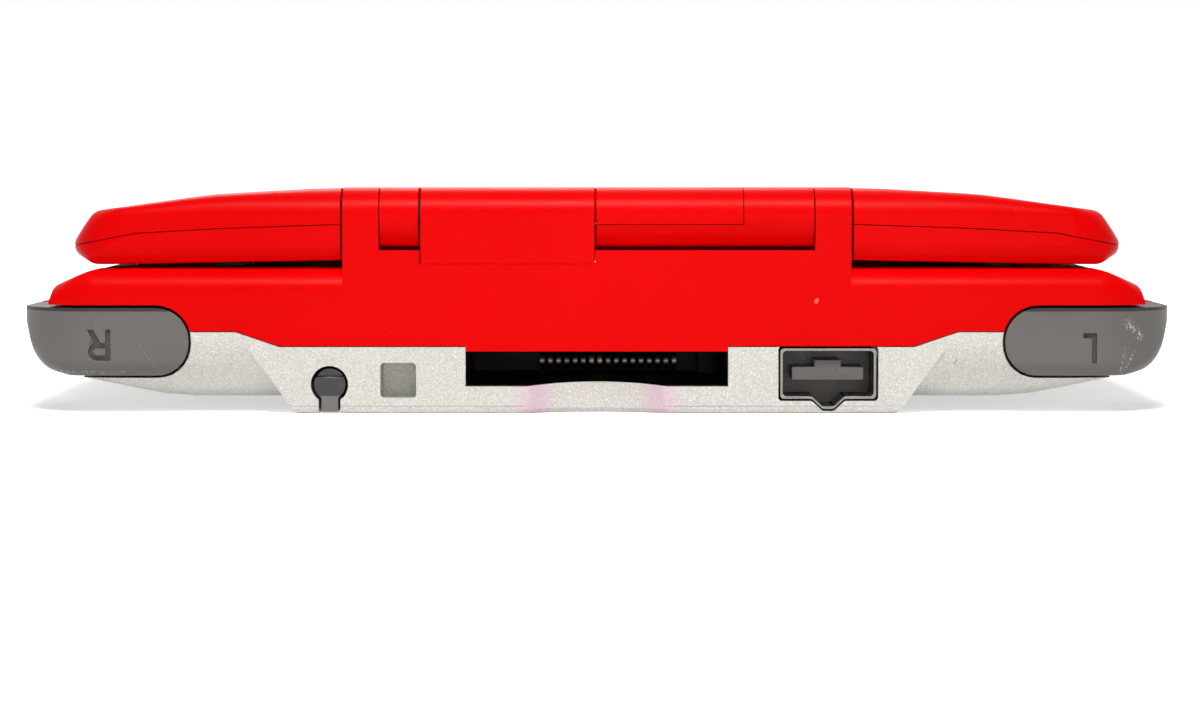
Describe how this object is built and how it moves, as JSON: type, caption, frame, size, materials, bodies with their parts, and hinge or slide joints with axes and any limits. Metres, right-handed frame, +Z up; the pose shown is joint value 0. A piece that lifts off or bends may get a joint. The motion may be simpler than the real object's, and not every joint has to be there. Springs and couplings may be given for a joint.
{
  "type": "clamshell handheld game console",
  "caption": "Folding handheld game console, closed: red lid hinged on a red and silver base with shoulder keys, card slot, stylus and ports.",
  "frame": {"origin": "middle of the flat underside's bounding rectangle, with the console closed and standing on its underside", "axes": "+X to the player's right, +Y from the front edge to the hinge, +Z up"},
  "size_m": [0.1486, 0.0848, 0.0289],
  "materials": {
    "red_plastic": "gloss",
    "silver_paint": "satin",
    "key_plastic": "satin",
    "black_plastic": "satin",
    "button_plastic": "satin",
    "steel": "satin",
    "gold_contact": "satin",
    "board": "satin",
    "display": "gloss",
    "window": "gloss",
    "rubber": "matte",
    "dome_rubber": "matte",
    "battery": "satin",
    "led": "gloss"
  },
  "bodies": {
    "base": {"lower_shell": "silver_paint", "deck_shell": "red_plastic", "hinge_cover": "red_plastic", "battery_cover": "silver_paint", "battery_pack": "battery", "main_board": "board", "touch_panel": "display", "lower_display": "display", "display_tray": "steel", "shell_screws": "steel", "feet": "rubber", "card_slot": "black_plastic", "card_contacts": "gold_contact", "cartridge_slot": "black_plastic", "cartridge_contacts": "gold_contact", "power_socket": "steel", "power_tongue": "button_plastic", "phones_jack": "black_plastic", "volume_track": "steel", "microphone": "steel", "radio_module": "steel", "led_lenses": "led", "cross_post": "button_plastic", "cross_domes": "dome_rubber", "face_domes": "dome_rubber", "pill_domes": "dome_rubber", "power_switch": "steel", "right_key_pin": "steel", "left_key_pin": "steel", "key_switches": "steel", "click_barrel": "steel", "cable_sleeve": "steel"},
    "lid": {"lid_outer_shell": "red_plastic", "lid_inner_shell": "red_plastic", "upper_window": "window", "upper_display": "display", "speakers": "steel", "speaker_gaskets": "rubber", "lid_screws": "steel", "lid_pads": "rubber"},
    "right_key": {"right_shoulder_key": "key_plastic"},
    "left_key": {"left_shoulder_key": "key_plastic"},
    "cross_gimbal": {"cross_ball": "button_plastic"},
    "cross": {"cross_key": "button_plastic"},
    "east": {"button_east": "button_plastic"},
    "south": {"button_south": "button_plastic"},
    "north": {"button_north": "button_plastic"},
    "west": {"button_west": "button_plastic"},
    "start": {"start_button": "button_plastic"},
    "select": {"select_button": "button_plastic"},
    "power": {"power_button": "button_plastic"},
    "volume": {"volume_slider": "key_plastic"},
    "stylus_pen": {"stylus": "black_plastic"},
    "ejector": {"card_ejector": "black_plastic"}
  },
  "joints": [
    {"name": "lid_hinge", "type": "hinge", "parent": "base", "child": "lid", "pos_m": [0, 0.0385, 0.02505], "axis": [-1, 0, 0], "range_deg": [0, 160]},
    {"name": "right_key_swing", "type": "hinge", "parent": "base", "child": "right_key", "pos_m": [0.0552, 0.03925, 0.00915], "axis": [0, 0, -1], "range_deg": [0, 3], "stiffness_Nm_per_rad": 1},
    {"name": "left_key_swing", "type": "hinge", "parent": "base", "child": "left_key", "pos_m": [-0.0552, 0.03925, 0.00915], "axis": [0, 0, 1], "range_deg": [0, 3], "stiffness_Nm_per_rad": 1},
    {"name": "cross_rock_side", "type": "hinge", "parent": "base", "child": "cross_gimbal", "pos_m": [-0.053, 0.006, 0.01537], "axis": [0, 1, 0], "range_deg": [-4.5, 4.5], "stiffness_Nm_per_rad": 0.25},
    {"name": "cross_rock_fore", "type": "hinge", "parent": "cross_gimbal", "child": "cross", "pos_m": [-0.053, 0.006, 0.01537], "axis": [1, 0, 0], "range_deg": [-4.5, 4.5], "stiffness_Nm_per_rad": 0.25},
    {"name": "east_press", "type": "slide", "parent": "base", "child": "east", "axis": [0, 0, -1], "range_m": [0, 0.0007], "stiffness_N_per_m": 900},
    {"name": "south_press", "type": "slide", "parent": "base", "child": "south", "axis": [0, 0, -1], "range_m": [0, 0.0007], "stiffness_N_per_m": 900},
    {"name": "north_press", "type": "slide", "parent": "base", "child": "north", "axis": [0, 0, -1], "range_m": [0, 0.0007], "stiffness_N_per_m": 900},
    {"name": "west_press", "type": "slide", "parent": "base", "child": "west", "axis": [0, 0, -1], "range_m": [0, 0.0007], "stiffness_N_per_m": 900},
    {"name": "start_press", "type": "slide", "parent": "base", "child": "start", "axis": [0, 0, -1], "range_m": [0, 0.0007], "stiffness_N_per_m": 900},
    {"name": "select_press", "type": "slide", "parent": "base", "child": "select", "axis": [0, 0, -1], "range_m": [0, 0.0007], "stiffness_N_per_m": 900},
    {"name": "power_press", "type": "slide", "parent": "base", "child": "power", "axis": [0, 0, -1], "range_m": [0, 0.0007], "stiffness_N_per_m": 900},
    {"name": "volume_slide", "type": "slide", "parent": "base", "child": "volume", "axis": [1, 0, 0], "range_m": [0, 0.008]},
    {"name": "stylus_slide", "type": "slide", "parent": "base", "child": "stylus_pen", "axis": [0, 1, 0], "range_m": [0, 0.076]},
    {"name": "card_eject", "type": "slide", "parent": "base", "child": "ejector", "axis": [0, -1, 0], "range_m": [0, 0.0025], "stiffness_N_per_m": 150}
  ]
}
